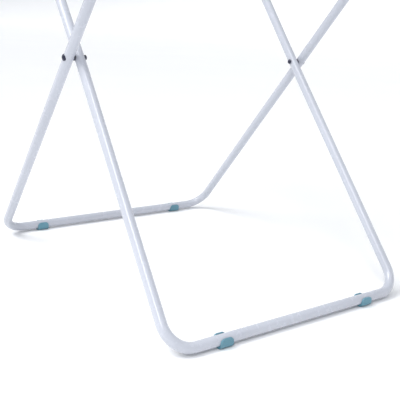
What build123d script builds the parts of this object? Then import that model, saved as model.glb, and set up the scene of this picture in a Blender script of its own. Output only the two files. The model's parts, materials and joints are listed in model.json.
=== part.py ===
from build123d import *
import os
from math import asin, atan2, cos, hypot, pi, sin

# A winged folding clothes airer. +X runs along its length, +Y across its width, +Z is up, and the
# origin is on the floor below its middle. The outer leg leans to +X and the inner leg to -X.
# All sizes are in millimetres.

# Driving sizes: the legs
leg_tube_diameter = 17.0
leg_tube_wall = 0.8
leg_bend_radius = 42.0
outer_leg_half_width = 255.0
leg_gap = 2.0
inner_leg_flare = 9.0
flare_start = 25.0
leg_half_spread = 313.0
pivot_height = 390.0
sole_thickness = 2.5

# Driving sizes: the centre frame
frame_height = 880.0
frame_tube_diameter = 16.0
frame_tube_wall = 0.8
frame_side_gap = 2.5
block_wall = 3.0
block_half_height = 11.0
block_tail = 28.0
cross_tube_socket = 19.0
rail_socket = 16.0

# Driving sizes: the wings and their hinges
hinge_reach = 24.0
hinge_rise = 26.0
hinge_lug_radius = 8.0
hinge_pin_diameter = 5.0
hinge_pin_head_diameter = 9.0
hinge_pin_head_height = 2.0
knuckle_width = 8.0
knuckle_reach = 16.0
cap_flange = 2.0
wing_bend_radius = 55.0
wing_meeting_gap = 17.0
wing_cross_tube_diameter = 12.0
wing_cross_tube_reach = 32.0
brace_diameter = 8.0
brace_reach = 230.0

# Driving sizes: the drying rods
rod_diameter = 5.0
rod_count = 9
rod_tie_diameter = 5.0
rod_tie_half_spacing = 135.0
rod_end_depth = 3.0

# Driving sizes: the stays and the hooks that hold them
stay_wire_diameter = 5.0
stay_bend_radius = 12.0
stay_leg_gap = 3.5
stay_hook_drop = 150.0
collar_width = 11.0
collar_wall = 4.0
collar_edge_break = 0.8
collar_socket_length = 24.0
collar_socket_diameter = 9.0
hook_standoff = 1.0
hook_plate_thickness = 2.0
hook_shelf_thickness = 3.0
hook_lip = 2.0
hook_length_above = 8.0
hook_length_below = 18.0

# Driving sizes: small fittings
pivot_bolt_diameter = 5.0
pivot_head_diameter = 11.0
pivot_head_height = 2.4
pivot_dome_bulge = 0.7
pivot_nut_height = 3.0
pivot_nut_across_flats = 8.0
spacer_diameter = 10.0
foot_clip_length = 23.0
foot_clip_height = 17.0
foot_corner_radius = 7.0
outer_foot_offset = 171.5
inner_foot_offset = 152.5
eye_wall = 4.0
eye_width = 16.0
edge_break = 1.0
cap_neck_length = 18.0
plug_length = 22.0

# Clearances
running_clearance = 0.05
bolt_clearance = 0.1
snap_clearance = 0.3
push_clearance = 0.05
wire_gap = 0.4
knuckle_side_gap = 0.3
collar_rod_gap = 1.5
foot_fold_gap = 5.0
frame_fold_gap = 1.5
slot_end_gap = 1.5
socket_end_gap = 1.0

# Sizes that follow from those above
leg_radius = leg_tube_diameter / 2
frame_radius = frame_tube_diameter / 2
rod_radius = rod_diameter / 2
brace_radius = brace_diameter / 2
stay_radius = stay_wire_diameter / 2
inner_leg_half_width = outer_leg_half_width - leg_tube_diameter - leg_gap
bar_height = sole_thickness + leg_radius
leg_angle = atan2(pivot_height - bar_height, leg_half_spread)
lower_leg_length = hypot(pivot_height - bar_height, leg_half_spread)
upper_leg_length = (frame_height - pivot_height) / sin(leg_angle)
frame_half_length = upper_leg_length * cos(leg_angle)
rail_offset = outer_leg_half_width + leg_radius + frame_side_gap + block_wall + frame_radius
block_half_width = frame_radius + block_wall
inner_leg_face = inner_leg_half_width - leg_radius
stay_half_width = inner_leg_face - stay_leg_gap - stay_radius
outermost_rod = stay_half_width - collar_width / 2 - collar_rod_gap - rod_radius
rod_pitch = 2 * outermost_rod / (rod_count - 1)
rod_offsets = [rod_pitch * number - outermost_rod for number in range(rod_count)]
hinge_x = frame_half_length + hinge_reach
hinge_z = frame_height + hinge_rise
wing_end_reach = hinge_x - frame_radius - wing_meeting_gap / 2
hook_inner_face = outermost_rod + rod_radius + collar_rod_gap
brace_x = hinge_x + brace_reach
brace_z = frame_height - rod_radius - brace_radius
stay_bar_offset = leg_radius + hook_standoff + hook_plate_thickness + wire_gap + stay_radius
eye_bore_radius = frame_radius + running_clearance
eye_radius = frame_radius + eye_wall
pin_radius = hinge_pin_diameter / 2
axle_radius = pivot_bolt_diameter / 2

# The middle of the stay's bar, where it lies in its hooks on the leg that leans to +X
stay_bar_x = (upper_leg_length - stay_hook_drop) * cos(leg_angle) + stay_bar_offset * sin(leg_angle)
stay_bar_z = (
    pivot_height
    + (upper_leg_length - stay_hook_drop) * sin(leg_angle)
    - stay_bar_offset * cos(leg_angle)
)
# How far the legs and the frame turn to lie folded, and the way out of the snap clips that the
# frame's cross tube takes as they start to turn
folded_leg_angle = asin((leg_tube_diameter + 2 * sole_thickness + foot_fold_gap) / lower_leg_length)
leg_fold = pi - 2 * leg_angle - folded_leg_angle
folded_frame_angle = asin((frame_radius + leg_radius + frame_fold_gap) / (2 * frame_half_length))
frame_fold = leg_angle - folded_frame_angle
snap_way_out = atan2(
    2 * frame_half_length * frame_fold / leg_fold + frame_half_length,
    frame_height - pivot_height,
)

# The stay's length, its slope and its slope to the leg that it rests on
stay_length = hypot(brace_x - stay_bar_x, brace_z - stay_bar_z)
stay_angle = atan2(brace_z - stay_bar_z, brace_x - stay_bar_x)
stay_to_leg = leg_angle - stay_angle

SIDES = {"front": -1, "back": 1}
ENDS = {"left": -1, "right": 1}


def side_plane(y):
    """An upright plane across the width at y. Its own coordinates are the model's x and z."""
    return Plane(origin=(0, y, 0), x_dir=(1, 0, 0), z_dir=(0, -1, 0))


def leg_profile_plane(lean, y):
    """A plane across the width at y, seen from the pivot: its x runs up the leg that leans to
    lean * X, and its y points away from the leg on the side that faces the floor."""
    up_the_leg = (lean * cos(leg_angle), 0, sin(leg_angle))
    return Plane(origin=(0, y, pivot_height), x_dir=up_the_leg, z_dir=(0, lean, 0))


def leg_plane(lean):
    """The plane that a leg's tube lies in: its x is the model's y, and its y runs up the leg."""
    square_to_leg = (sin(leg_angle), 0, -lean * cos(leg_angle))
    return Plane(origin=(0, 0, pivot_height), x_dir=(0, 1, 0), z_dir=square_to_leg)


def stay_plane(end):
    """The plane that a stay lies in, seen from its brace: its y points from the bar to the brace."""
    square_to_stay = (sin(stay_angle), 0, -end * cos(stay_angle))
    return Plane(origin=(end * brace_x, 0, brace_z), x_dir=(0, 1, 0), z_dir=square_to_stay)


def cross_cut(x, y, z, radius, width):
    """Removes a round hole along Y, centred on a point, from the part being built."""
    with BuildSketch(Plane(origin=(x, y, z), x_dir=(1, 0, 0), z_dir=(0, 1, 0))) as hole:
        Circle(radius)
    extrude(hole.sketch, amount=width / 2, both=True, mode=Mode.SUBTRACT)


def round_bar(plane, radius, length):
    """A solid bar along the plane's normal, half of it on each side of the plane."""
    with BuildPart() as bar:
        with BuildSketch(plane):
            Circle(radius)
        extrude(amount=length / 2, both=True)
    return bar.part


def bent_tube(plane, half_width, open_end, closed_end, bend_radius, diameter, wall=None, flare=0):
    """A U of round tube, or of solid wire where no wall is given. Its open ends are at open_end
    and its closed end is at closed_end, both along the plane's y. A flare widens the closed end."""
    left_side = [(-half_width, open_end), (-half_width - flare, closed_end)]
    if flare:
        left_side.insert(1, (-half_width, -flare_start))
    right_side = [(-x, y) for x, y in reversed(left_side)]
    with BuildPart() as tube:
        with BuildLine(plane) as route:
            FilletPolyline(*left_side, *right_side, radius=bend_radius)
        with BuildSketch(Plane(origin=route.line @ 0, z_dir=route.line % 0)):
            Circle(diameter / 2)
            if wall:
                Circle(diameter / 2 - wall, mode=Mode.SUBTRACT)
        sweep()
    return tube.part


def straight_tube(plane, diameter, wall, length):
    """A length of round tube along the plane's normal, half of it on each side of the plane."""
    with BuildPart() as tube:
        with BuildSketch(plane):
            Circle(diameter / 2)
            Circle(diameter / 2 - wall, mode=Mode.SUBTRACT)
        extrude(amount=length / 2, both=True)
    return tube.part


def save(part, label):
    """Names a finished piece and writes it."""
    part.label = label
    export_step(part, f"parts/{label}.step")


# The legs


def leg_tube(lean, half_width, flare):
    """One U-shaped leg: a bar on the floor and two sides, drilled for the pivot bolts. A flare
    spreads its sides below the pivot."""
    open_end = upper_leg_length - cap_neck_length
    with BuildPart() as leg:
        add(
            bent_tube(
                leg_plane(lean),
                half_width,
                open_end,
                -lower_leg_length,
                leg_bend_radius,
                leg_tube_diameter,
                leg_tube_wall,
                flare,
            )
        )
        bore = axle_radius + (push_clearance if lean > 0 else bolt_clearance)
        for side in SIDES.values():
            cross_cut(0, side * half_width, pivot_height, bore, leg_tube_diameter + leg_gap)
    return leg.part


def foot_clip(lean, offset):
    """A plastic clip that wraps the underside of the floor bar and stands on the floor."""
    foot_x = -lean * leg_half_spread
    clip_half_width = leg_radius + sole_thickness
    with BuildPart() as clip:
        with BuildSketch(side_plane(offset).shift_origin((foot_x, offset, 0))):
            with Locations((0, foot_clip_height / 2)):
                Rectangle(2 * clip_half_width, foot_clip_height)
        extrude(amount=foot_clip_length / 2, both=True)
        sole_edges = clip.edges().filter_by(Axis.Y).group_by(Axis.Z)[0]
        fillet(sole_edges, foot_corner_radius)
        tab_corners = clip.edges().filter_by(Axis.X).group_by(Axis.Z)[-1]
        fillet(tab_corners, foot_corner_radius)
        cross_cut(foot_x, offset, bar_height, leg_radius, 2 * foot_clip_length)
        slot_height = foot_clip_height - bar_height + edge_break
        with BuildSketch(Plane.XY.offset(bar_height + slot_height / 2)):
            with Locations((foot_x, offset)):
                Rectangle(leg_tube_diameter, 2 * foot_clip_length)
        extrude(amount=slot_height / 2, both=True, mode=Mode.SUBTRACT)
    return clip.part


def revolve_plane(x, z, side):
    """An upright plane through a cross axis. Its x runs outward along side * Y and its y is up."""
    return Plane(origin=(x, 0, z), x_dir=(0, side, 0), z_dir=(side, 0, 0))


def cross_axis(x, z):
    """The axis along Y through a point of the side view."""
    return Axis((x, 0, z), (0, 1, 0))


def leg_section_plane(lean, y, distance):
    """A plane square to a leg, at a distance up the leg from the pivot."""
    up_the_leg = Vector(lean * cos(leg_angle), 0, sin(leg_angle))
    return Plane(origin=Vector(0, y, pivot_height) + up_the_leg * distance, z_dir=up_the_leg)


def cut_leg_tube(lean, half_width, side):
    """Removes the room of one side of a leg's tube from the part being built."""
    with BuildSketch(leg_section_plane(lean, side * half_width, 0)) as section:
        Circle(leg_radius)
    extrude(section.sketch, amount=upper_leg_length, both=True, mode=Mode.SUBTRACT)


def pivot_bolt(side):
    """The dark bolt that the two legs turn on: a domed head that hugs the outer tube, and a shank
    that passes through both tubes and into the nut."""
    head_face = outer_leg_half_width + leg_radius
    head_root = outer_leg_half_width + leg_radius / 2
    head_radius = pivot_head_diameter / 2
    shank_end = inner_leg_face - pivot_nut_height + edge_break
    with BuildPart() as bolt:
        with BuildSketch(revolve_plane(0, pivot_height, side)):
            with BuildLine():
                Polyline((head_root, 0), (head_root, head_radius), (head_face, head_radius))
                SagittaArc(
                    (head_face, head_radius), (head_face + pivot_head_height, 0), pivot_dome_bulge
                )
                Line((head_face + pivot_head_height, 0), (head_root, 0))
            make_face()
        revolve(axis=cross_axis(0, pivot_height))
        cut_leg_tube(1, outer_leg_half_width, side)
        with BuildSketch(revolve_plane(0, pivot_height, side)):
            with Locations(((shank_end + head_face) / 2, axle_radius / 2)):
                Rectangle(head_face - shank_end, axle_radius)
        revolve(axis=cross_axis(0, pivot_height))
    return bolt.part


def pivot_spacer(side):
    """The collar between the two tubes. It hugs the outer tube, and the inner tube turns on it."""
    inner_end = inner_leg_half_width + leg_radius + snap_clearance
    length = outer_leg_half_width - inner_end
    with BuildPart() as spacer:
        with BuildSketch(revolve_plane(0, pivot_height, side)):
            with Locations((inner_end + length / 2, spacer_diameter / 4)):
                Rectangle(length, spacer_diameter / 2)
        revolve(axis=cross_axis(0, pivot_height))
        cut_leg_tube(1, outer_leg_half_width, side)
        cross_cut(0, side * inner_end, pivot_height, axle_radius, 2 * length)
    return spacer.part


def pivot_nut(side):
    """The capped nut on the inner end of the pivot bolt."""
    nut_middle = inner_leg_face - snap_clearance - pivot_nut_height / 2
    with BuildPart() as nut:
        with BuildSketch(Plane(origin=(0, side * nut_middle, pivot_height), z_dir=(0, 1, 0))):
            RegularPolygon(pivot_nut_across_flats / 2, 6, major_radius=False)
        extrude(amount=pivot_nut_height / 2, both=True)
        inner_face = nut.faces().sort_by(Axis.Y)[0 if side > 0 else -1]
        chamfer(inner_face.edges(), edge_break)
        bore_start = inner_leg_face - pivot_nut_height + edge_break
        bore_length = inner_leg_face - bore_start
        cross_cut(0, side * (bore_start + bore_length / 2), pivot_height, axle_radius, bore_length)
    return nut.part


def leg_end(lean, half_width, side, bore_radius):
    """The moulded end of a leg: a plug in the tube, a neck, and an eye around the cross tube."""
    y = side * half_width
    neck_start = upper_leg_length - cap_neck_length
    plug_radius = leg_radius - leg_tube_wall - push_clearance
    with BuildPart() as cap:
        with BuildSketch(leg_profile_plane(lean, y)):
            with Locations((upper_leg_length, 0)):
                Circle(eye_radius)
        extrude(amount=eye_width / 2, both=True)
        chamfer(cap.edges().filter_by(GeomType.CIRCLE), edge_break)
        with BuildSketch(leg_section_plane(lean, y, neck_start)):
            Circle(leg_radius)
        extrude(amount=cap_neck_length - frame_radius)
        with BuildSketch(leg_section_plane(lean, y, neck_start - plug_length)):
            Circle(plug_radius)
        extrude(amount=plug_length)
        cross_cut(lean * frame_half_length, y, frame_height, bore_radius, leg_tube_diameter)
    return cap.part


def snap_clip(side):
    """The moulded end of the inner leg, open on the side where the frame's cross tube leaves it."""
    y = side * inner_leg_half_width
    bore_radius = frame_radius + snap_clearance
    mouth = Plane(
        origin=(-frame_half_length, y, frame_height),
        x_dir=(-cos(snap_way_out), 0, -sin(snap_way_out)),
        z_dir=(0, -1, 0),
    )
    with BuildPart() as clip:
        add(leg_end(-1, inner_leg_half_width, side, bore_radius))
        with BuildSketch(mouth):
            with Locations((eye_radius, 0)):
                Rectangle(2 * eye_radius, 2 * bore_radius)
        extrude(amount=leg_radius, both=True, mode=Mode.SUBTRACT)
    return clip.part


def stay_hook(lean, half_width, side):
    """A moulded hook on the floor side of a leg. The end of a stay lies on its sloping shelf."""
    outer_face = half_width + leg_radius
    finger_middle = side * (hook_inner_face + outer_face) / 2
    finger_width = outer_face - hook_inner_face
    plate_base = leg_radius + hook_standoff
    bar_u = upper_leg_length - stay_hook_drop
    saddle_depth = leg_radius / 2
    plate_length = hook_length_above + hook_length_below
    plate_middle = bar_u + (hook_length_above - hook_length_below) / 2
    to_shelf = Vector(-cos(stay_to_leg), -sin(stay_to_leg))
    along_shelf = Vector(-sin(stay_to_leg), cos(stay_to_leg))
    shelf_face = Vector(bar_u, stay_bar_offset) + to_shelf * (stay_radius + wire_gap)
    shelf_tip = shelf_face + along_shelf * (stay_radius + hook_lip)
    shelf_root = shelf_face - along_shelf * (stay_radius + hook_shelf_thickness)
    with BuildPart() as hook:
        with BuildSketch(leg_profile_plane(lean, finger_middle)):
            with Locations((plate_middle, plate_base + hook_plate_thickness / 2)):
                Rectangle(plate_length, hook_plate_thickness)
            with BuildLine():
                Polyline(
                    shelf_tip,
                    shelf_root,
                    shelf_root + to_shelf * hook_shelf_thickness,
                    shelf_tip + to_shelf * hook_shelf_thickness,
                    close=True,
                )
            make_face()
            with Locations((plate_middle, plate_base - hook_shelf_thickness)):
                Rectangle(plate_length, 2 * hook_shelf_thickness, mode=Mode.SUBTRACT)
        extrude(amount=finger_width / 2, both=True)
        with BuildSketch(leg_profile_plane(lean, side * half_width)):
            with Locations((plate_middle, plate_base - saddle_depth / 2)):
                Rectangle(plate_length, saddle_depth)
        extrude(amount=leg_radius, both=True)
        cut_leg_tube(lean, half_width, side)
    return hook.part


# The centre frame


def cross_tube(end):
    """A tube across the frame that the legs' eyes turn on, drilled for the rods."""
    tube_x = end * frame_half_length
    reach = rail_offset - block_half_width + cross_tube_socket
    with BuildPart() as tube:
        with BuildSketch(side_plane(0).shift_origin((tube_x, 0, frame_height))):
            Circle(frame_radius)
            Circle(frame_radius - frame_tube_wall, mode=Mode.SUBTRACT)
        extrude(amount=reach, both=True)
        with BuildSketch(Plane(origin=(tube_x, 0, frame_height), x_dir=(0, 1, 0), z_dir=(-end, 0, 0))):
            with Locations([(offset, 0) for offset in rod_offsets]):
                Circle(rod_radius)
        extrude(amount=frame_tube_diameter, mode=Mode.SUBTRACT)
    return tube.part


def rail(side):
    """A tube along one side of the frame, held in the corner blocks."""
    half_length = frame_half_length - block_tail + rail_socket
    place = Plane(origin=(0, side * rail_offset, frame_height), z_dir=(1, 0, 0))
    return straight_tube(place, frame_tube_diameter, frame_tube_wall, 2 * half_length)


def rods(x_start, x_end):
    """Straight drying rods along X, side by side."""
    with BuildPart() as bars:
        place = Plane(origin=(x_start, 0, frame_height), x_dir=(0, 1, 0), z_dir=(1, 0, 0))
        with BuildSketch(place):
            with Locations([(offset, 0) for offset in rod_offsets]):
                Circle(rod_radius)
        extrude(amount=x_end - x_start)
    return bars.part


def rod_tie(end):
    """A wire welded across the underside of the frame's rods."""
    tie_radius = rod_tie_diameter / 2
    z = frame_height - rod_radius - tie_radius
    place = side_plane(0).shift_origin((end * rod_tie_half_spacing, 0, z))
    return round_bar(place, tie_radius, 2 * (outermost_rod + rod_radius))


def corner_block(end, side):
    """The moulded corner that holds a rail and a cross tube, and forks around a wing's hinge."""
    y = side * rail_offset
    lug_half = hinge_lug_radius * cos(pi / 4)
    nose_root = hinge_reach - knuckle_reach + cap_flange
    profile = [
        (-block_tail, -block_half_height),
        (nose_root, -block_half_height),
        (hinge_reach + lug_half, hinge_rise - lug_half),
        (hinge_reach - lug_half, hinge_rise + lug_half),
        (nose_root, block_half_height),
        (-block_tail, block_half_height),
    ]
    with BuildPart() as block:
        with BuildSketch(side_plane(y).shift_origin((end * frame_half_length, y, frame_height))):
            with BuildLine():
                Polyline([(end * x, z) for x, z in profile], close=True)
            make_face()
            with Locations((end * hinge_reach, hinge_rise)):
                Circle(hinge_lug_radius)
        extrude(amount=block_half_width, both=True)
        tail_face = block.faces().filter_by(GeomType.PLANE).sort_by(Axis.X)[0 if end > 0 else -1]
        fillet(tail_face.edges().filter_by(Axis.Y), block_wall)
        outer_face = block.faces().sort_by(Axis.Y)[-1 if side > 0 else 0]
        chamfer(outer_face.edges(), edge_break)
        with BuildSketch(Plane(origin=(end * frame_half_length, y, frame_height), z_dir=(-end, 0, 0))):
            Circle(frame_radius)
        extrude(amount=block_tail + edge_break, mode=Mode.SUBTRACT)
        inner_face = side * (rail_offset - block_half_width)
        cross_cut(
            end * frame_half_length, inner_face, frame_height, frame_radius, 2 * cross_tube_socket
        )
        slot_start = hinge_x - hinge_lug_radius - slot_end_gap
        with BuildSketch(Plane.XY.offset(frame_height)):
            with Locations((end * (slot_start + knuckle_reach), y)):
                Rectangle(2 * knuckle_reach, knuckle_width + 2 * knuckle_side_gap)
        extrude(amount=hinge_rise + 2 * hinge_lug_radius, both=True, mode=Mode.SUBTRACT)
        cross_cut(end * hinge_x, y, hinge_z, pin_radius, 4 * block_half_width)
    return block.part


def hinge_pin(end, side):
    """A short rivet that a wing's knuckle turns on, with a low head on each side of its block."""
    head_radius = hinge_pin_head_diameter / 2
    with BuildPart() as pin:
        middle = Plane(origin=(end * hinge_x, side * rail_offset, hinge_z), z_dir=(0, 1, 0))
        with BuildSketch(middle):
            Circle(pin_radius)
        extrude(amount=block_half_width + hinge_pin_head_height, both=True)
        for cheek in SIDES.values():
            face_y = side * rail_offset + cheek * block_half_width
            with BuildSketch(
                Plane(origin=(end * hinge_x, face_y, hinge_z), z_dir=(0, cheek, 0))
            ):
                Circle(head_radius)
            extrude(amount=hinge_pin_head_height)
        for rim in (0, -1):
            chamfer(pin.edges().filter_by(GeomType.CIRCLE).group_by(Axis.Y)[rim], edge_break)
    return pin.part


# The wings


def wing_tube(end):
    """The U of tube around a wing, drilled on its end bar for the rods."""
    flat = Plane(origin=(end * hinge_x, 0, frame_height), x_dir=(0, 1, 0), z_dir=(0, 0, end))
    with BuildPart() as wing:
        add(
            bent_tube(
                flat,
                rail_offset,
                -knuckle_reach,
                -wing_end_reach,
                wing_bend_radius,
                frame_tube_diameter,
                frame_tube_wall,
            )
        )
        bar_x = end * (hinge_x + wing_end_reach)
        with BuildSketch(Plane(origin=(bar_x, 0, frame_height), x_dir=(0, 1, 0), z_dir=(-end, 0, 0))):
            with Locations([(offset, 0) for offset in rod_offsets]):
                Circle(rod_radius)
        extrude(amount=frame_tube_diameter, mode=Mode.SUBTRACT)
    return wing.part


def cut_wing_sides(end):
    """Removes the room of a wing's two side tubes from the part being built."""
    start = Plane(origin=(end * hinge_x, 0, frame_height), x_dir=(0, 1, 0), z_dir=(end, 0, 0))
    with BuildSketch(start) as sections:
        with Locations((-rail_offset, 0), (rail_offset, 0)):
            Circle(frame_radius)
    extrude(sections.sketch, amount=wing_end_reach, mode=Mode.SUBTRACT)


def wing_cross_tube(end):
    """The thin tube across a wing near its hinges, with its ends coped to the side tubes."""
    tube_x = end * (hinge_x + wing_cross_tube_reach)
    radius = wing_cross_tube_diameter / 2
    with BuildPart() as tube:
        with BuildSketch(side_plane(0).shift_origin((tube_x, 0, frame_height))):
            Circle(radius)
            Circle(radius - frame_tube_wall, mode=Mode.SUBTRACT)
        extrude(amount=rail_offset - frame_radius / 2, both=True)
        cut_wing_sides(end)
        with BuildSketch(Plane(origin=(tube_x, 0, frame_height), x_dir=(0, 1, 0), z_dir=(end, 0, 0))):
            with Locations([(offset, 0) for offset in rod_offsets]):
                Circle(rod_radius)
        extrude(amount=wing_cross_tube_diameter, mode=Mode.SUBTRACT)
    return tube.part


def wing_brace(end):
    """The stout wire under a wing's rods that carries its stay, with coped ends."""
    with BuildPart() as brace:
        with BuildSketch(side_plane(0).shift_origin((end * brace_x, 0, brace_z))):
            Circle(brace_radius)
        extrude(amount=rail_offset - frame_radius / 4, both=True)
        cut_wing_sides(end)
    return brace.part


def wing_knuckle(end, side):
    """The moulded end of a wing's side tube: a plug, a cap, and an eye on the hinge pin."""
    y = side * rail_offset
    plug_radius = frame_radius - frame_tube_wall - push_clearance
    tangent = hinge_lug_radius * cos(pi / 4)
    stem = [
        (-tangent, -tangent),
        (knuckle_reach - cap_flange, -hinge_rise - frame_radius),
        (knuckle_reach, -hinge_rise - frame_radius),
        (knuckle_reach, -hinge_rise + frame_radius),
        (tangent, tangent),
    ]
    with BuildPart() as knuckle:
        with BuildSketch(side_plane(y).shift_origin((end * hinge_x, y, hinge_z))):
            with BuildLine():
                Polyline([(end * x, z) for x, z in stem], close=True)
            make_face()
            Circle(hinge_lug_radius)
        extrude(amount=knuckle_width / 2, both=True)
        tube_end = Plane(
            origin=(end * (hinge_x + knuckle_reach), y, frame_height), z_dir=(end, 0, 0)
        )
        with BuildSketch(tube_end.offset(-cap_flange)):
            Circle(frame_radius)
        extrude(amount=cap_flange)
        with BuildSketch(tube_end):
            Circle(plug_radius)
        extrude(amount=plug_length)
        cross_cut(end * hinge_x, y, hinge_z, pin_radius + running_clearance, 2 * knuckle_width)
    return knuckle.part


# The stays


def stay_wire(end):
    """The U of wire that props a wing. Its bar lies in the two hooks of the leg below."""
    return bent_tube(
        stay_plane(end),
        stay_half_width,
        -(brace_radius + collar_wall + socket_end_gap),
        -stay_length,
        stay_bend_radius,
        stay_wire_diameter,
    )


def stay_collar(end, side):
    """A moulded collar that turns on a wing's brace and holds one end of the stay's wire."""
    y = side * stay_half_width
    toward_bar = (-end * cos(stay_angle), 0, -sin(stay_angle))
    socket = Plane(origin=(end * brace_x, y, brace_z), z_dir=toward_bar)
    with BuildPart() as collar:
        with BuildSketch(side_plane(y).shift_origin((end * brace_x, y, brace_z))):
            Circle(brace_radius + collar_wall)
        extrude(amount=collar_width / 2, both=True)
        chamfer(collar.edges().filter_by(GeomType.CIRCLE), collar_edge_break)
        with BuildSketch(socket):
            Circle(collar_socket_diameter / 2)
        extrude(amount=collar_socket_length)
        with BuildSketch(socket.offset(brace_radius + collar_wall + socket_end_gap)):
            Circle(stay_radius)
        extrude(amount=collar_socket_length, mode=Mode.SUBTRACT)
        cross_cut(end * brace_x, y, brace_z, brace_radius + running_clearance, 2 * collar_width)
    return collar.part


os.makedirs("parts", exist_ok=True)

save(leg_tube(1, outer_leg_half_width, 0), "outer_leg_tube")
save(leg_tube(-1, inner_leg_half_width, inner_leg_flare), "inner_leg_tube")
for side_name, side in SIDES.items():
    save(foot_clip(1, side * outer_foot_offset), f"outer_foot_clip_{side_name}")
    save(foot_clip(-1, side * inner_foot_offset), f"inner_foot_clip_{side_name}")
    save(pivot_bolt(side), f"pivot_bolt_{side_name}")
    save(pivot_spacer(side), f"pivot_spacer_{side_name}")
    save(pivot_nut(side), f"pivot_nut_{side_name}")
    save(leg_end(1, outer_leg_half_width, side, eye_bore_radius), f"leg_eye_{side_name}")
    save(snap_clip(side), f"leg_snap_clip_{side_name}")
    save(stay_hook(1, outer_leg_half_width, side), f"right_stay_hook_{side_name}")
    save(stay_hook(-1, inner_leg_half_width, side), f"left_stay_hook_{side_name}")
    save(rail(side), f"frame_rail_{side_name}")

rod_reach = frame_half_length - frame_radius + frame_tube_wall + rod_end_depth
save(rods(-rod_reach, rod_reach), "frame_rods")

for end_name, end in ENDS.items():
    save(cross_tube(end), f"frame_cross_tube_{end_name}")
    save(rod_tie(end), f"frame_rod_tie_{end_name}")
    save(wing_tube(end), f"{end_name}_wing_tube")
    save(wing_cross_tube(end), f"{end_name}_wing_cross_tube")
    save(wing_brace(end), f"{end_name}_wing_brace")
    cross_tube_face = hinge_x + wing_cross_tube_reach + wing_cross_tube_diameter / 2
    near = cross_tube_face - frame_tube_wall - rod_end_depth
    far = hinge_x + wing_end_reach - frame_radius + frame_tube_wall + rod_end_depth
    save(rods(*sorted((end * near, end * far))), f"{end_name}_wing_rods")
    save(stay_wire(end), f"{end_name}_stay_wire")
    for side_name, side in SIDES.items():
        save(corner_block(end, side), f"corner_block_{end_name}_{side_name}")
        save(hinge_pin(end, side), f"{end_name}_wing_pin_{side_name}")
        save(wing_knuckle(end, side), f"{end_name}_wing_knuckle_{side_name}")
        save(stay_collar(end, side), f"{end_name}_stay_collar_{side_name}")
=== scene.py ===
import json
import math
import random

import bmesh
import bpy
from mathutils import Matrix, Vector


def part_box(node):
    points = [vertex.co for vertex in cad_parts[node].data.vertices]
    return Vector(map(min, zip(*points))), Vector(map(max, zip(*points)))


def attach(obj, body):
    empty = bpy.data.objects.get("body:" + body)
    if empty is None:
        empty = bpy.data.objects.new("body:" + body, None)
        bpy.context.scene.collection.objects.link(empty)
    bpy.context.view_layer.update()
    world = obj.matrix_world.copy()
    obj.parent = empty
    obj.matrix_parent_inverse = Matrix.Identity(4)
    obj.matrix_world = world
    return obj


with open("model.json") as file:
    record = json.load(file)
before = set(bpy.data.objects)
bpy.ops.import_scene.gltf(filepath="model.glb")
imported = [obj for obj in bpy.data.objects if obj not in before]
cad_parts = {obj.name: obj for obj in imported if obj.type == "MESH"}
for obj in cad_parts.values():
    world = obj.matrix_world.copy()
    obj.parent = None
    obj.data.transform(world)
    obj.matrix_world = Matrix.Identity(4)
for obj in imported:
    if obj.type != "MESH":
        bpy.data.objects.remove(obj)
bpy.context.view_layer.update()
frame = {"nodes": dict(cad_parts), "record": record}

# The looks of a winged folding clothes airer: coated tube and wire, moulded plastic fittings, weld
# beads, floor, light and camera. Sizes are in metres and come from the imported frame.

slots = {part["node"]: part["material_slot"] for part in frame["record"]["subparts"]}

# Linear colours of the coating, the plastics, the metals and the floor
COAT_GREY = (0.485, 0.505, 0.565)
WIRE_GREY = (0.50, 0.52, 0.58)
TEAL = (0.105, 0.26, 0.335)
SPACER_GREY = (0.035, 0.045, 0.075)
BOLT_NAVY = (0.018, 0.021, 0.045)
ZINC = (0.62, 0.63, 0.65)
WORN_STEEL = (0.42, 0.43, 0.47)
BARE_STEEL = (0.30, 0.31, 0.34)
PIT_BROWN = (0.22, 0.21, 0.20)
DUST = (0.50, 0.55, 0.57)
FLOOR_PALE = (0.93, 0.935, 0.945)
FLOOR_PALER = (0.95, 0.953, 0.96)

BEVEL_SAMPLES = 6

# The rods of each row, the half thickness of the weld beads, and the half sizes of a spot weld
RODS_IN_A_ROW = 9
TUBE_BEAD = 0.0009
ROD_BEAD = 0.0006
SPOT_WELD = (0.0019, 0.0019, 0.0009)

X_AXIS = Vector((1, 0, 0))
Y_AXIS = Vector((0, 1, 0))
Z_AXIS = Vector((0, 0, 1))
BOTH_SIDES = (-1, 1)
ENDS = {"left": -1, "right": 1}


# Materials


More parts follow.
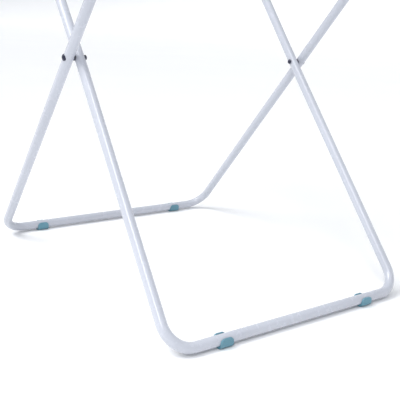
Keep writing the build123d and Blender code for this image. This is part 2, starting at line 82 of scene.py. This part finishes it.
class Graph:
    """One material under construction, with short calls for the nodes it needs."""

    def __init__(self, name):
        self.material = bpy.data.materials.new(name)
        self.material.use_nodes = True
        self.tree = self.material.node_tree
        self.shader = self.tree.nodes["Principled BSDF"]
        self.place = self.tree.nodes.new("ShaderNodeTexCoord").outputs["Object"]

    def link(self, source, socket):
        self.tree.links.new(source, socket)

    def stretched(self, scale):
        """Object coordinates multiplied by a vector, for grain that runs one way."""
        mapping = self.tree.nodes.new("ShaderNodeMapping")
        mapping.inputs["Scale"].default_value = scale
        self.link(self.place, mapping.inputs["Vector"])
        return mapping.outputs["Vector"]

    def noise(self, scale, detail=3.0, roughness=0.5, place=None):
        """Cloudy noise. The scale is in cycles to the metre."""
        node = self.tree.nodes.new("ShaderNodeTexNoise")
        node.inputs["Scale"].default_value = scale
        node.inputs["Detail"].default_value = detail
        node.inputs["Roughness"].default_value = roughness
        self.link(place or self.place, node.inputs["Vector"])
        return node.outputs["Fac"]

    def cells(self, scale):
        """Small round cells, for the grain of a mould."""
        node = self.tree.nodes.new("ShaderNodeTexVoronoi")
        node.inputs["Scale"].default_value = scale
        self.link(self.place, node.inputs["Vector"])
        return node.outputs["Distance"]

    def remap(self, value, low, high, to_low=0.0, to_high=1.0):
        """Stretches a value from one range to another, held at both ends."""
        node = self.tree.nodes.new("ShaderNodeMapRange")
        for name, number in (
            ("From Min", low),
            ("From Max", high),
            ("To Min", to_low),
            ("To Max", to_high),
        ):
            node.inputs[name].default_value = number
        self.link(value, node.inputs["Value"])
        return node.outputs["Result"]

    def combine(self, operation, first, second):
        """A maths node. The second value may be a socket or a number."""
        node = self.tree.nodes.new("ShaderNodeMath")
        node.operation = operation
        self.link(first, node.inputs[0])
        if isinstance(second, (int, float)):
            node.inputs[1].default_value = second
        else:
            self.link(second, node.inputs[1])
        return node.outputs["Value"]

    def mix(self, factor, first, second):
        """A blend from one colour to another. Each may be a socket or a colour."""
        node = self.tree.nodes.new("ShaderNodeMix")
        node.data_type = "RGBA"
        self.link(factor, node.inputs["Factor"])
        for socket, color in ((node.inputs[6], first), (node.inputs[7], second)):
            if isinstance(color, (tuple, list)):
                socket.default_value = (*color, 1)
            else:
                self.link(color, socket)
        return node.outputs[2]

    def soft_edges(self, radius):
        """The normal as it would be with every edge rounded to a small radius."""
        node = self.tree.nodes.new("ShaderNodeBevel")
        node.samples = BEVEL_SAMPLES
        node.inputs["Radius"].default_value = radius
        return node.outputs["Normal"]

    def edge_mask(self, radius):
        """Near 1 close to an edge, and 0 on a plain surface."""
        geometry = self.tree.nodes.new("ShaderNodeNewGeometry")
        dot = self.tree.nodes.new("ShaderNodeVectorMath")
        dot.operation = "DOT_PRODUCT"
        self.link(self.soft_edges(radius), dot.inputs[0])
        self.link(geometry.outputs["Normal"], dot.inputs[1])
        return self.remap(dot.outputs["Value"], low=0.99, high=0.85)

    def bump(self, height, distance, strength, normal=None):
        """A normal tilted by a height in metres, on top of another normal if one is given."""
        node = self.tree.nodes.new("ShaderNodeBump")
        node.inputs["Distance"].default_value = distance
        node.inputs["Strength"].default_value = strength
        self.link(height, node.inputs["Height"])
        if normal:
            self.link(normal, node.inputs["Normal"])
        return node.outputs["Normal"]

    def finish(self, color, roughness, normal, **plain):
        """Links the three textured inputs and sets the plain ones on the shader's own sockets."""
        self.link(color, self.shader.inputs["Base Color"])
        self.link(roughness, self.shader.inputs["Roughness"])
        self.link(normal, self.shader.inputs["Normal"])
        for name, value in plain.items():
            self.shader.inputs[name.replace("_", " ")].default_value = value
        return self.material


def shade(color, factor):
    """A colour made darker or paler by a factor."""
    return tuple(channel * factor for channel in color)


def powder_coat(name, color, peel_scale, peel_height):
    """Light coating on steel: orange peel, slight drift of tone, rubbed and dusty patches."""
    graph = Graph(name)
    drift = graph.remap(graph.noise(scale=5.0, detail=2.0), low=0.35, high=0.65)
    tone = graph.mix(drift, shade(color, 0.95), shade(color, 1.04))
    fine_rub = graph.noise(scale=34.0, detail=5.0, roughness=0.65)
    broad_rub = graph.noise(scale=9.0, detail=2.0)
    rub_field = graph.combine("MULTIPLY", fine_rub, broad_rub)
    rubbed = graph.remap(rub_field, low=0.34, high=0.46, to_high=0.30)
    tone = graph.mix(rubbed, tone, shade(color, 0.88))
    worn = graph.combine("MULTIPLY", graph.edge_mask(0.0007), graph.noise(scale=240.0))
    tone = graph.mix(worn, tone, WORN_STEEL)
    specks = graph.remap(graph.noise(scale=1500.0, detail=1.0), low=0.72, high=0.80, to_high=0.25)
    tone = graph.mix(specks, tone, shade(color, 0.75))
    sheen = graph.remap(graph.noise(scale=70.0, detail=4.0), low=0.3, high=0.7, to_low=0.20, to_high=0.30)
    gloss = graph.combine("ADD", sheen, graph.combine("MULTIPLY", rubbed, 0.35))
    peel = graph.bump(graph.noise(peel_scale, detail=2.0), distance=peel_height, strength=0.35)
    ripple_field = graph.noise(scale=120.0, detail=2.0)
    ripple = graph.bump(ripple_field, distance=peel_height * 2, strength=0.15, normal=peel)
    return graph.finish(tone, gloss, ripple, Coat_Weight=0.6, Coat_Roughness=0.06)


def moulded_plastic(name, color, grain_scale, gloss_low, gloss_high):
    """Moulded plastic: fine spark grain, flow marks, and paler polished edges."""
    graph = Graph(name)
    along_flow = graph.stretched((1.0, 0.35, 1.0))
    flow_field = graph.noise(scale=30.0, detail=4.0, roughness=0.6, place=along_flow)
    flow = graph.remap(flow_field, low=0.3, high=0.7)
    tone = graph.mix(flow, shade(color, 0.86), shade(color, 1.10))
    polished = graph.combine("MULTIPLY", graph.edge_mask(0.0009), 0.55)
    polished_tone = tuple(0.65 * channel + 0.16 for channel in color)
    tone = graph.mix(polished, tone, polished_tone)
    dust_field = graph.noise(scale=400.0, detail=4.0, roughness=0.7)
    dust = graph.remap(dust_field, low=0.58, high=0.72, to_high=0.22)
    tone = graph.mix(dust, tone, DUST)
    gloss = graph.remap(graph.noise(scale=160.0), low=0.3, high=0.7, to_low=gloss_low, to_high=gloss_high)
    gloss = graph.combine("SUBTRACT", gloss, graph.combine("MULTIPLY", polished, 0.25))
    edges = graph.soft_edges(0.0005)
    grain = graph.bump(graph.cells(grain_scale), distance=0.00008, strength=0.35, normal=edges)
    return graph.finish(tone, gloss, grain, Subsurface_Weight=0.03, Subsurface_Scale=0.002)


def dark_coat(name, color):
    """Dark blue-black coating on a bolt, with bare steel showing where a tool has rubbed it."""
    graph = Graph(name)
    mottle = graph.remap(graph.noise(scale=420.0), low=0.3, high=0.7)
    tone = graph.mix(mottle, shade(color, 0.75), shade(color, 1.5))
    scraped = graph.combine("MULTIPLY", graph.edge_mask(0.0006), graph.noise(scale=900.0, detail=2.0))
    tone = graph.mix(scraped, tone, BARE_STEEL)
    gloss = graph.remap(graph.noise(scale=260.0), low=0.3, high=0.7, to_low=0.22, to_high=0.42)
    edges = graph.soft_edges(0.0005)
    pimples = graph.noise(scale=2200.0, detail=2.0)
    surface = graph.bump(pimples, distance=0.00005, strength=0.3, normal=edges)
    return graph.finish(tone, gloss, surface, Metallic=0.35)


def plated_steel(name, color):
    """Zinc plated rivets: turned rings, a cloudy bloom and small pits."""
    graph = Graph(name)
    bloom = graph.remap(graph.noise(scale=190.0, detail=4.0), low=0.3, high=0.7)
    tone = graph.mix(bloom, shade(color, 0.82), shade(color, 1.08))
    pits = graph.remap(graph.noise(scale=2600.0, detail=2.0), low=0.62, high=0.72, to_high=0.5)
    tone = graph.mix(pits, tone, PIT_BROWN)
    gloss = graph.remap(graph.noise(scale=320.0), low=0.3, high=0.7, to_low=0.24, to_high=0.40)
    across_rings = graph.stretched((1.0, 0.1, 1.0))
    turned = graph.noise(scale=900.0, detail=1.0, place=across_rings)
    edges = graph.soft_edges(0.0004)
    surface = graph.bump(turned, distance=0.00006, strength=0.3, normal=edges)
    return graph.finish(tone, gloss, surface, Metallic=0.9)


def pale_floor(name):
    """A plain, pale, very slightly uneven floor."""
    graph = Graph(name)
    drift = graph.remap(graph.noise(scale=1.2), low=0.3, high=0.7)
    tone = graph.mix(drift, FLOOR_PALE, FLOOR_PALER)
    gloss = graph.remap(graph.noise(scale=60.0), low=0.3, high=0.7, to_low=0.42, to_high=0.5)
    surface = graph.bump(graph.noise(scale=350.0, detail=2.0), distance=0.0001, strength=0.1)
    return graph.finish(tone, gloss, surface)


def build_materials():
    """One finished material for each slot of the record."""
    return {
        "coated_tube": powder_coat("coated_tube_looks", COAT_GREY, peel_scale=1100.0, peel_height=0.00006),
        "coated_wire": powder_coat("coated_wire_looks", WIRE_GREY, peel_scale=1900.0, peel_height=0.00004),
        "teal_plastic": moulded_plastic(
            "teal_plastic_looks", TEAL, grain_scale=3000.0, gloss_low=0.36, gloss_high=0.50
        ),
        "dark_spacer": moulded_plastic(
            "dark_spacer_looks", SPACER_GREY, grain_scale=3400.0, gloss_low=0.30, gloss_high=0.44
        ),
        "dark_bolt": dark_coat("dark_bolt_looks", BOLT_NAVY),
        "bright_rivet": plated_steel("bright_rivet_looks", ZINC),
    }


def dress_cad_nodes(materials):
    """Gives each carried-over CAD node the material of its slot."""
    for name, node in frame["nodes"].items():
        for slot in node.material_slots:
            slot.material = materials[slots[name]]


# Mesh pieces


def centre(node):
    """The middle of a CAD node's box."""
    low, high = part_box(node)
    return (Vector(low) + Vector(high)) / 2


def reach(node):
    """The size of a CAD node's box along each axis."""
    low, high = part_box(node)
    return Vector(high) - Vector(low)


def add_piece(name, mesh_builder, material, body):
    """Makes one smooth-shaded object from a bmesh and lets it ride on a CAD body."""
    mesh = bpy.data.meshes.new(name)
    bmesh.ops.recalc_face_normals(mesh_builder, faces=mesh_builder.faces)
    mesh_builder.to_mesh(mesh)
    mesh_builder.free()
    mesh.shade_smooth()
    mesh.materials.append(material)
    piece = bpy.data.objects.new(name, mesh)
    bpy.context.scene.collection.objects.link(piece)
    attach(piece, body)


def ring_strip(builder, rings):
    """Joins closed rings of points into a closed band."""
    rows = [[builder.verts.new(point) for point in ring] for ring in rings]
    for row, next_row in zip(rows, rows[1:] + rows[:1]):
        for corner in range(len(row)):
            after = (corner + 1) % len(row)
            builder.faces.new((row[corner], row[after], next_row[after], next_row[corner]))


def saddle_bead(builder, tube_middle, along, side, bar_radius, tube_radius, thickness, draw, drop=0.0):
    """A rippled weld bead where a thin bar runs into the side of a thicker tube.

    The bar runs along `along`, `drop` lower than the tube, whose middle line runs along `side`."""
    turns = 24
    facets = 6
    ripples = 6
    ripple_depth = 0.18
    unevenness = 0.06
    phase = draw.uniform(0, 2 * math.pi)
    facet_angles = [2 * math.pi * facet / facets for facet in range(facets)]
    rings = []
    for step in range(turns):
        angle = 2 * math.pi * step / turns
        outward = side * math.cos(angle) + Z_AXIS * math.sin(angle)
        height = bar_radius * math.sin(angle) - drop
        rise = math.sqrt(max(tube_radius**2 - height**2, 0.0))
        point = tube_middle + outward * bar_radius - Z_AXIS * drop + along * rise
        ripple = ripple_depth * math.sin(ripples * angle + phase)
        swell = thickness * (1 + ripple + draw.uniform(-unevenness, unevenness))
        ring = [point + outward * (swell * math.cos(a)) + along * (swell * math.sin(a)) for a in facet_angles]
        rings.append(ring)
    ring_strip(builder, rings)


def weld_nugget(builder, middle, size, draw):
    """A small uneven dome of weld where two wires cross."""
    unevenness = 0.07
    made = bmesh.ops.create_icosphere(builder, subdivisions=2, radius=1.0)
    for vert in made["verts"]:
        swell = 1 + draw.uniform(-unevenness, unevenness)
        vert.co = middle + Vector([vert.co[i] * size[i] * swell for i in range(3)])


def rod_lines(prefix):
    """The Y places and the radius of a row of rods, from the box of the CAD node that holds them."""
    low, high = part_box(f"{prefix}_rods")
    rod_radius = (high[2] - low[2]) / 2
    first = low[1] + rod_radius
    pitch = (high[1] - rod_radius - first) / (RODS_IN_A_ROW - 1)
    return [first + pitch * number for number in range(RODS_IN_A_ROW)], rod_radius


def rod_beads(name, cross_node, prefix, toward, material, body, draw):
    """The beads where a row of rods runs into one cross tube."""
    lines, rod_radius = rod_lines(prefix)
    middle = centre(cross_node)
    tube_radius = reach(cross_node)[2] / 2
    builder = bmesh.new()
    for y in lines:
        place = Vector((middle.x, y, middle.z))
        saddle_bead(builder, place, X_AXIS * toward, Y_AXIS, rod_radius, tube_radius, ROD_BEAD, draw)
    add_piece(name, builder, material, body)


def tie_welds(end_name, material, draw):
    """The spot welds between the frame's rods and the wire under them."""
    lines, _ = rod_lines("frame")
    tie = centre(f"frame_rod_tie_{end_name}")
    tie_radius = reach(f"frame_rod_tie_{end_name}")[2] / 2
    builder = bmesh.new()
    for y in lines:
        place = Vector((tie.x, y, tie.z + tie_radius))
        weld_nugget(builder, place, SPOT_WELD, draw)
    add_piece(f"frame_tie_welds_{end_name}", builder, material, "centre_frame")


def side_beads(end_name, member, material, draw):
    """The beads at both ends of a cross member of a wing, against its side tubes."""
    middle = centre(f"{end_name}_wing_{member}")
    member_radius = reach(f"{end_name}_wing_{member}")[2] / 2
    tube = centre(f"{end_name}_wing_tube")
    tube_size = reach(f"{end_name}_wing_tube")
    tube_radius = tube_size.z / 2
    builder = bmesh.new()
    for side in BOTH_SIDES:
        tube_line = side * (tube_size.y / 2 - tube_radius)
        place = Vector((middle.x, tube_line, tube.z))
        drop = tube.z - middle.z
        saddle_bead(builder, place, Y_AXIS * -side, X_AXIS, member_radius, tube_radius, TUBE_BEAD, draw, drop)
    add_piece(f"{end_name}_wing_{member}_welds", builder, material, f"{end_name}_wing")


def build_welds(materials, draw):
    """Every weld bead of the frame and the wings."""
    wire = materials["coated_wire"]
    tube = materials["coated_tube"]
    for end_name, end in ENDS.items():
        rod_beads(
            f"frame_rod_welds_{end_name}", f"frame_cross_tube_{end_name}", "frame", -end, wire,
            "centre_frame", draw,
        )
        rod_beads(
            f"{end_name}_wing_inner_rod_welds", f"{end_name}_wing_cross_tube", f"{end_name}_wing", end,
            wire, f"{end_name}_wing", draw,
        )
        tie_welds(end_name, wire, draw)
        for member in ("cross_tube", "brace"):
            side_beads(end_name, member, tube, draw)


# Floor, light and camera


def build_floor(material):
    """A wide round floor that sweeps up into a low wall, so that no horizon shows."""
    middle_radius = 1.5
    flat_radius = 25.0
    sweep_radius = 5.0
    wall_top = 9.0
    sectors = 96
    sweep_steps = 12
    profile = [(middle_radius, 0.0), (flat_radius, 0.0)]
    for step in range(1, sweep_steps + 1):
        angle = math.pi / 2 * step / sweep_steps
        radius = flat_radius + sweep_radius * math.sin(angle)
        profile.append((radius, sweep_radius * (1 - math.cos(angle))))
    profile.append((flat_radius + sweep_radius, wall_top))
    around = [2 * math.pi * sector / sectors for sector in range(sectors)]
    builder = bmesh.new()
    rows = []
    for radius, height in profile:
        row = [builder.verts.new((radius * math.cos(a), radius * math.sin(a), height)) for a in around]
        rows.append(row)
    builder.faces.new(rows[0])
    for row, next_row in zip(rows, rows[1:]):
        for corner in range(sectors):
            after = (corner + 1) % sectors
            builder.faces.new((row[corner], next_row[corner], next_row[after], row[after]))
    mesh = bpy.data.meshes.new("floor")
    builder.to_mesh(mesh)
    builder.free()
    mesh.shade_smooth()
    mesh.materials.append(material)
    floor = bpy.data.objects.new("floor", mesh)
    bpy.context.scene.collection.objects.link(floor)


def add_light(name, kind, place, target, power):
    """A light of one kind, aimed from a place at a point."""
    light = bpy.data.lights.new(name, kind)
    light.energy = power
    lamp = bpy.data.objects.new(name, light)
    lamp.location = place
    lamp.rotation_euler = (Vector(target) - Vector(place)).to_track_quat("-Z", "Y").to_euler()
    bpy.context.scene.collection.objects.link(lamp)
    return light


def build_light():
    """A pale surround, a broad even light from high on the front side, and a soft box for gloss.

    The soft box hangs above the camera, where the leaning legs mirror it as a thin bright line."""
    world = bpy.data.worlds.new("studio")
    bpy.context.scene.world = world
    world.use_nodes = True
    surround = world.node_tree.nodes["Background"]
    surround.inputs["Color"].default_value = (0.92, 0.95, 1.0, 1)
    surround.inputs["Strength"].default_value = 0.52
    key = add_light("key", "SUN", place=(-0.8, -1.9, 3.2), target=(0, 0, 0.4), power=2.35)
    key.angle = math.radians(35)
    box = add_light("soft_box", "AREA", place=(1.5, -1.65, 2.45), target=(0.15, 0, 0.15), power=38)
    box.shape = "RECTANGLE"
    box.size = 0.8
    box.size_y = 2.2
    bpy.context.scene.view_settings.view_transform = "Standard"


def build_camera():
    """A camera low at the front right corner, close enough that only the legs are in view."""
    heading = math.radians(53.36)
    pitch = math.radians(15.18)
    roll = math.radians(3.43)
    distance = 1.26
    aim = Vector((0.011, 0.0144, 0.1269))
    level_forward = Vector((-math.sin(heading), math.cos(heading), 0))
    forward = level_forward * math.cos(pitch) - Z_AXIS * math.sin(pitch)
    level_right = Vector((math.cos(heading), math.sin(heading), 0))
    level_up = level_right.cross(forward)
    right = level_right * math.cos(roll) + level_up * math.sin(roll)
    up = level_up * math.cos(roll) - level_right * math.sin(roll)
    lens = bpy.data.cameras.new("camera")
    lens.sensor_width = 36.0
    lens.lens = 59.0
    camera = bpy.data.objects.new("camera", lens)
    facing = Matrix((right, up, -forward)).transposed()
    camera.matrix_world = Matrix.Translation(aim - forward * distance) @ facing.to_4x4()
    bpy.context.scene.collection.objects.link(camera)
    bpy.context.scene.camera = camera


looks = build_materials()
dress_cad_nodes(looks)
build_welds(looks, random.Random(7))
build_floor(pale_floor("floor_looks"))
build_light()
build_camera()
